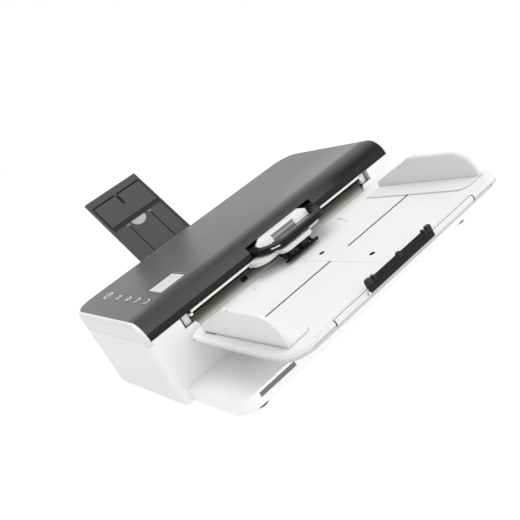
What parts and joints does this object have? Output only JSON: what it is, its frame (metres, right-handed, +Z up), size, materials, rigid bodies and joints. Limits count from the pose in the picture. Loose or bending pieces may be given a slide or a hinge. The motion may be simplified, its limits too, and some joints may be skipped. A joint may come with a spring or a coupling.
{
  "type": "sheet fed document scanner",
  "caption": "Sheet fed document scanner with a hinged dark lid, a lifting input tray with side guides and pull-out extension, and a sloping rear exit tray.",
  "frame": {"origin": "middle of the footprint of the whole machine with its trays, on the table", "axes": "+X to the user's right, +Y to the back of the machine, +Z up"},
  "size_m": [0.404, 0.533, 0.198],
  "materials": {
    "white_shell": "satin",
    "inner_plastic": "matte",
    "dark_shell": "satin",
    "black_plastic": "matte",
    "steel": "brushed",
    "rubber": "matte",
    "clear_glass": "gloss",
    "display_lens": "gloss",
    "circuit_board": "satin"
  },
  "bodies": {
    "base": {"base_housing": "white_shell", "base_pan": "inner_plastic", "rubber_feet": "rubber", "left_side_frame": "steel", "right_side_frame": "steel", "lower_guide_plate": "white_shell", "lower_image_sensor": "black_plastic", "lower_scan_glass": "clear_glass", "latch_strikers": "steel", "lid_hinge_pins": "steel", "main_board": "circuit_board", "data_socket": "steel", "power_inlet": "black_plastic", "transport_motor": "steel", "lift_motor": "steel", "roller_bushes": "inner_plastic", "drive_belt": "rubber"},
    "entry_drive": {"entry_drive_shaft": "steel", "entry_drive_tyres": "rubber", "drive_gear": "inner_plastic"},
    "exit_drive": {"exit_drive_shaft": "steel", "exit_drive_tyres": "rubber"},
    "motor_pinion": {"motor_pinion": "inner_plastic"},
    "separation_roller": {"separation_roller": "rubber"},
    "lift_shaft": {"lift_shaft": "steel"},
    "input_tray": {"input_tray": "white_shell", "tray_underpan": "white_shell", "lift_racks": "inner_plastic"},
    "guide_pinion": {"guide_pinion": "black_plastic"},
    "left_guide": {"left_guide": "white_shell", "left_guide_rack": "black_plastic"},
    "right_guide": {"right_guide": "white_shell", "right_guide_rack": "black_plastic"},
    "tray_extension": {"tray_extension": "white_shell"},
    "end_stop": {"end_stop": "black_plastic"},
    "lid": {"lid_cover": "dark_shell", "left_end_cap": "white_shell", "right_end_cap": "white_shell", "lid_rear_panel": "white_shell", "lid_liner": "white_shell", "feed_module_cover": "white_shell", "latch_bezel": "white_shell", "upper_image_sensor": "black_plastic", "upper_scan_glass": "clear_glass", "display_window": "display_lens", "key_board": "circuit_board"},
    "entry_pressure": {"entry_pressure_roller": "rubber"},
    "exit_pressure": {"exit_pressure_roller": "rubber"},
    "feed_roller": {"feed_roller": "rubber"},
    "pick_arm": {"pick_arm": "black_plastic"},
    "pick_rollers": {"pick_rollers": "rubber"},
    "latch": {"latch_handle": "dark_shell", "latch_shaft": "steel"},
    "power_key": {"power_key": "dark_shell"},
    "first_key": {"first_key": "dark_shell"},
    "second_key": {"second_key": "dark_shell"},
    "third_key": {"third_key": "dark_shell"},
    "fourth_key": {"fourth_key": "dark_shell"},
    "rear_tray": {"rear_tray": "dark_shell"},
    "rear_tray_extension": {"rear_tray_extension": "dark_shell"}
  },
  "joints": [
    {"name": "lid_hinge", "type": "hinge", "parent": "base", "child": "lid", "pos_m": [0, 0.14751, 0.088], "axis": [-1, 0, 0], "range_deg": [0, 50]},
    {"name": "latch_pull", "type": "hinge", "parent": "lid", "child": "latch", "pos_m": [0, -0.05299, 0.094], "axis": [-1, 0, 0], "range_deg": [0, 20], "stiffness_Nm_per_rad": 0.5},
    {"name": "tray_lift", "type": "slide", "parent": "base", "child": "input_tray", "axis": [0, 0, 1], "range_m": [-0.022, 0]},
    {"name": "lift_shaft_spin", "type": "hinge", "parent": "base", "child": "lift_shaft", "pos_m": [0, -0.03949, 0.038], "axis": [1, 0, 0], "range_deg": [-2, 160]},
    {"name": "left_guide_slide", "type": "slide", "parent": "input_tray", "child": "left_guide", "axis": [1, 0, 0], "range_m": [-0.009, 0.092]},
    {"name": "right_guide_slide", "type": "slide", "parent": "input_tray", "child": "right_guide", "axis": [-1, 0, 0], "range_m": [-0.009, 0.092]},
    {"name": "guide_pinion_spin", "type": "hinge", "parent": "input_tray", "child": "guide_pinion", "pos_m": [0, -0.15949, 0.0625], "axis": [0, 0, 1], "range_deg": [-530, 55]},
    {"name": "extension_slide", "type": "slide", "parent": "input_tray", "child": "tray_extension", "axis": [0, -1, 0], "range_m": [0, 0.06]},
    {"name": "end_stop_flip", "type": "hinge", "parent": "tray_extension", "child": "end_stop", "pos_m": [-0.011, -0.26529, 0.0655], "axis": [1, 0, 0], "range_deg": [0, 90]},
    {"name": "rear_tray_tilt", "type": "hinge", "parent": "base", "child": "rear_tray", "pos_m": [-0.028, 0.15851, 0.07], "axis": [-1, 0, 0], "range_deg": [-36, 0]},
    {"name": "rear_extension_slide", "type": "slide", "parent": "rear_tray", "child": "rear_tray_extension", "axis": [0, 0.6428, 0.766], "range_m": [0, 0.045]},
    {"name": "pick_arm_swing", "type": "hinge", "parent": "lid", "child": "pick_arm", "pos_m": [0, -0.04049, 0.0892], "axis": [-1, 0, 0], "range_deg": [0, 2]},
    {"name": "feed_roller_spin", "type": "hinge", "parent": "lid", "child": "feed_roller", "pos_m": [0, -0.04049, 0.0892], "axis": [1, 0, 0], "continuous": true},
    {"name": "pick_roller_spin", "type": "hinge", "parent": "pick_arm", "child": "pick_rollers", "pos_m": [0, -0.08549, 0.077], "axis": [1, 0, 0], "continuous": true},
    {"name": "separation_spin", "type": "hinge", "parent": "base", "child": "separation_roller", "pos_m": [0, -0.04049, 0.0688], "axis": [1, 0, 0], "continuous": true},
    {"name": "entry_drive_spin", "type": "hinge", "parent": "base", "child": "entry_drive", "pos_m": [0, -0.00349, 0.0688], "axis": [1, 0, 0], "continuous": true},
    {"name": "exit_drive_spin", "type": "hinge", "parent": "base", "child": "exit_drive", "pos_m": [0, 0.08451, 0.0688], "axis": [1, 0, 0], "continuous": true},
    {"name": "motor_pinion_spin", "type": "hinge", "parent": "base", "child": "motor_pinion", "pos_m": [-0.174, -0.00349, 0.048], "axis": [1, 0, 0], "continuous": true},
    {"name": "entry_pressure_spin", "type": "hinge", "parent": "lid", "child": "entry_pressure", "pos_m": [0, -0.00349, 0.0877], "axis": [1, 0, 0], "continuous": true},
    {"name": "exit_pressure_spin", "type": "hinge", "parent": "lid", "child": "exit_pressure", "pos_m": [0, 0.08451, 0.0877], "axis": [1, 0, 0], "continuous": true},
    {"name": "power_key_press", "type": "slide", "parent": "lid", "child": "power_key", "axis": [0, 0, -1], "range_m": [0, 0.001], "stiffness_N_per_m": 600},
    {"name": "first_key_press", "type": "slide", "parent": "lid", "child": "first_key", "axis": [0, 0, -1], "range_m": [0, 0.001], "stiffness_N_per_m": 600},
    {"name": "second_key_press", "type": "slide", "parent": "lid", "child": "second_key", "axis": [0, 0, -1], "range_m": [0, 0.001], "stiffness_N_per_m": 600},
    {"name": "third_key_press", "type": "slide", "parent": "lid", "child": "third_key", "axis": [0, 0, -1], "range_m": [0, 0.001], "stiffness_N_per_m": 600},
    {"name": "fourth_key_press", "type": "slide", "parent": "lid", "child": "fourth_key", "axis": [0, 0, -1], "range_m": [0, 0.001], "stiffness_N_per_m": 600}
  ],
  "couplings": [
    {"joint": "lift_shaft_spin", "follows": "tray_lift", "rad_per_m": -125},
    {"joint": "right_guide_slide", "follows": "left_guide_slide", "ratio": 1},
    {"joint": "guide_pinion_spin", "follows": "left_guide_slide", "rad_per_m": -100},
    {"joint": "pick_roller_spin", "follows": "feed_roller_spin", "ratio": 1.4286},
    {"joint": "separation_spin", "follows": "feed_roller_spin", "ratio": -1},
    {"joint": "exit_drive_spin", "follows": "entry_drive_spin", "ratio": 1},
    {"joint": "motor_pinion_spin", "follows": "entry_drive_spin", "ratio": -2.25},
    {"joint": "entry_pressure_spin", "follows": "entry_drive_spin", "ratio": -1.1765},
    {"joint": "exit_pressure_spin", "follows": "entry_drive_spin", "ratio": -1.1765}
  ]
}
